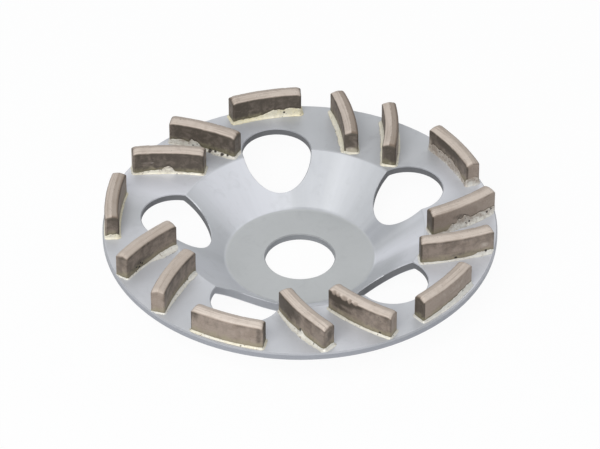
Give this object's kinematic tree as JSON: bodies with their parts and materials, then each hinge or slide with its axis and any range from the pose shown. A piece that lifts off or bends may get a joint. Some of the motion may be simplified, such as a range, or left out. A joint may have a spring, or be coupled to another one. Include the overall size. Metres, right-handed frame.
{
  "type": "diamond cup wheel",
  "caption": "Dished steel grinding wheel with curved raised abrasive segments brazed to its flat rim, round dust holes across the bend and a central bore.",
  "frame": {"origin": "centre of the bore on the back face of the hub, the face that seats on the grinder's flange", "axes": "+Z along the bore from the hub's back towards the abrasive; the first dust hole lies 29 degrees from +X"},
  "size_m": [0.125, 0.125, 0.0237],
  "materials": {
    "body_steel": "satin",
    "abrasive": "rough sintered",
    "braze": "rough"
  },
  "bodies": {
    "root": {"wheel_body": "body_steel", "segment_01": "abrasive", "segment_02": "abrasive", "segment_03": "abrasive", "segment_04": "abrasive", "segment_05": "abrasive", "segment_06": "abrasive", "segment_07": "abrasive", "segment_08": "abrasive", "segment_09": "abrasive", "segment_10": "abrasive", "segment_11": "abrasive", "segment_12": "abrasive", "segment_13": "abrasive", "segment_14": "abrasive", "segment_15": "abrasive", "braze_01": "braze", "braze_02": "braze", "braze_03": "braze", "braze_04": "braze", "braze_05": "braze", "braze_06": "braze", "braze_07": "braze", "braze_08": "braze", "braze_09": "braze", "braze_10": "braze", "braze_11": "braze", "braze_12": "braze", "braze_13": "braze", "braze_14": "braze", "braze_15": "braze"}
  },
  "joints": []
}
